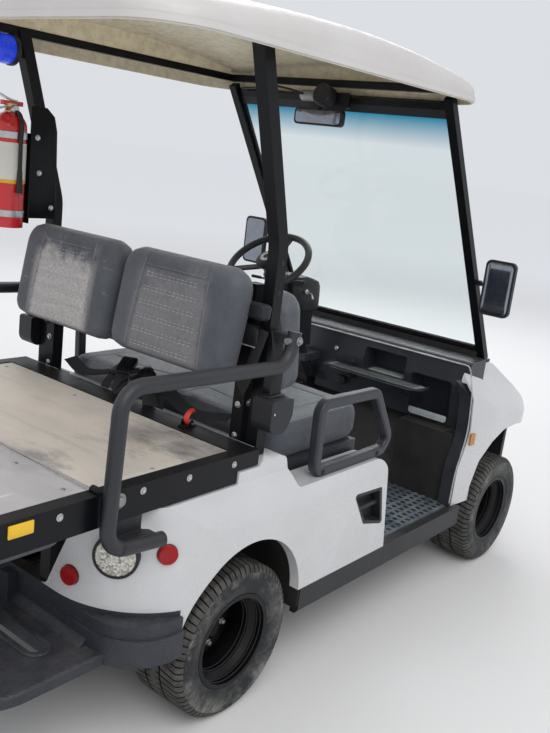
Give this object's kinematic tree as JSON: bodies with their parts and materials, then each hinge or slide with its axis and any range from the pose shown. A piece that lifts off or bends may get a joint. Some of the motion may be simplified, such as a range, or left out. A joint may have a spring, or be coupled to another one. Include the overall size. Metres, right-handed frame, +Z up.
{
  "type": "utility vehicle",
  "caption": "Small canopied electric utility vehicle with a cab bench, windshield, grab rails, hip restraints and a cargo deck whose rear half flips into a rear-facing seat.",
  "frame": {"origin": "on the ground, under the middle of the overall length and width", "axes": "+X forward, +Y to the left, +Z up"},
  "size_m": [2.965, 1.31, 1.972],
  "materials": {
    "chassis_paint": "satin black frame paint",
    "cast_axle": "dark cast and turned steel",
    "spring_steel": "dark spring steel",
    "bright_steel": "ground steel bar",
    "wheel_grip": "soft black moulded grip",
    "black_plastic": "black moulded plastic",
    "floor_paint": "dark painted sheet",
    "mat_rubber": "ribbed dark mat",
    "white_body": "white moulded body panel",
    "lamp_lens": "clear fluted lens",
    "red_lens": "red lens",
    "amber_lens": "amber lens",
    "textured_plastic": "grained black plastic",
    "black_paint": "black powder coat",
    "cream_board": "worn cream deck sheet",
    "grey_board": "worn grey deck sheet",
    "grey_vinyl": "grey marine vinyl",
    "red_plastic": "red moulded latch",
    "cream_roof": "cream moulded canopy",
    "clear_glass": "clear windshield sheet",
    "dash_plastic": "dark grey moulding",
    "soft_black": "soft skinned armrest",
    "rail_paint": "dark grey powder coat",
    "mirror_shell": "mirror in a black shell",
    "blue_lens": "blue lens",
    "red_paint": "gloss red bottle",
    "rim_paint": "black steel wheel",
    "tyre_rubber": "road tyre rubber"
  },
  "bodies": {
    "root": {"chassis_frame": "chassis_paint", "rear_axle": "cast_axle", "front_axle": "cast_axle", "leaf_springs": "spring_steel", "rack_case": "cast_axle", "steering_column": "black_plastic", "floor_pan": "floor_paint", "floor_mat": "mat_rubber", "rocker_panels": "black_plastic", "rear_body": "white_body", "front_cowl": "white_body", "side_vents": "black_plastic", "wheel_liners": "black_plastic", "clear_lamps": "lamp_lens", "rear_reflectors": "red_lens", "marker_lamps": "amber_lens", "rear_bumper": "textured_plastic", "front_bumper": "textured_plastic", "deck_frame": "black_paint", "deck_panel": "cream_board", "deck_latch": "red_plastic", "seat_back_frame": "black_paint", "canopy_frame": "black_paint", "roof_canopy": "cream_roof", "windshield_frame": "black_paint", "windshield_glass": "clear_glass", "dashboard": "dash_plastic", "seat_base": "dash_plastic", "battery_pack": "black_plastic", "front_cushion": "grey_vinyl", "front_backrests": "grey_vinyl", "rear_backrests": "grey_vinyl", "hip_restraints": "soft_black", "grab_rails": "rail_paint", "mirrors": "mirror_shell", "belt_housings": "black_plastic", "beacon": "blue_lens", "extinguisher": "red_paint", "pedals": "black_plastic"},
    "rear_left_wheel": {"rear_left_tyre": "tyre_rubber", "rear_left_rim": "rim_paint"},
    "rear_right_wheel": {"rear_right_tyre": "tyre_rubber", "rear_right_rim": "rim_paint"},
    "front_left_wheel": {"front_left_tyre": "tyre_rubber", "front_left_rim": "rim_paint"},
    "front_right_wheel": {"front_right_tyre": "tyre_rubber", "front_right_rim": "rim_paint"},
    "left_steer": {"left_knuckle": "cast_axle"},
    "right_steer": {"right_knuckle": "cast_axle"},
    "rack": {"steering_rack": "bright_steel"},
    "hand_wheel": {"steering_wheel": "wheel_grip"},
    "flip_deck": {"flip_frame": "black_paint", "flip_panel": "grey_board", "bench_cushion": "grey_vinyl"}
  },
  "joints": [
    {"name": "rear_left_roll", "type": "hinge", "parent": "root", "child": "rear_left_wheel", "pos_m": [-0.5075, 0.472, 0.2295], "axis": [0, 1, 0], "continuous": true},
    {"name": "rear_right_roll", "type": "hinge", "parent": "root", "child": "rear_right_wheel", "pos_m": [-0.5075, -0.472, 0.2295], "axis": [0, 1, 0], "continuous": true},
    {"name": "hand_wheel_turn", "type": "hinge", "parent": "root", "child": "hand_wheel", "pos_m": [0.4375, 0.24, 1.16], "axis": [-0.6018, 0, 0.7986], "range_deg": [-315, 315]},
    {"name": "left_steer_turn", "type": "hinge", "parent": "root", "child": "left_steer", "pos_m": [1.0925, 0.4, 0.2295], "axis": [0, 0, 1], "range_deg": [-30, 30]},
    {"name": "right_steer_turn", "type": "hinge", "parent": "root", "child": "right_steer", "pos_m": [1.0925, -0.4, 0.2295], "axis": [0, 0, 1], "range_deg": [-30, 30]},
    {"name": "rack_slide", "type": "slide", "parent": "root", "child": "rack", "axis": [0, 1, 0], "range_m": [-0.056, 0.056]},
    {"name": "front_left_roll", "type": "hinge", "parent": "left_steer", "child": "front_left_wheel", "pos_m": [1.0925, 0.503, 0.2295], "axis": [0, 1, 0], "continuous": true},
    {"name": "front_right_roll", "type": "hinge", "parent": "right_steer", "child": "front_right_wheel", "pos_m": [1.0925, -0.503, 0.2295], "axis": [0, 1, 0], "continuous": true},
    {"name": "deck_flip", "type": "hinge", "parent": "root", "child": "flip_deck", "pos_m": [-1.0145, 0, 0.799], "axis": [0, 1, 0], "range_deg": [0, 180]}
  ],
  "couplings": [
    {"joint": "left_steer_turn", "follows": "hand_wheel_turn", "ratio": 0.088889},
    {"joint": "right_steer_turn", "follows": "hand_wheel_turn", "ratio": 0.088889},
    {"joint": "rack_slide", "follows": "hand_wheel_turn", "m_per_rad": -0.0093932}
  ]
}
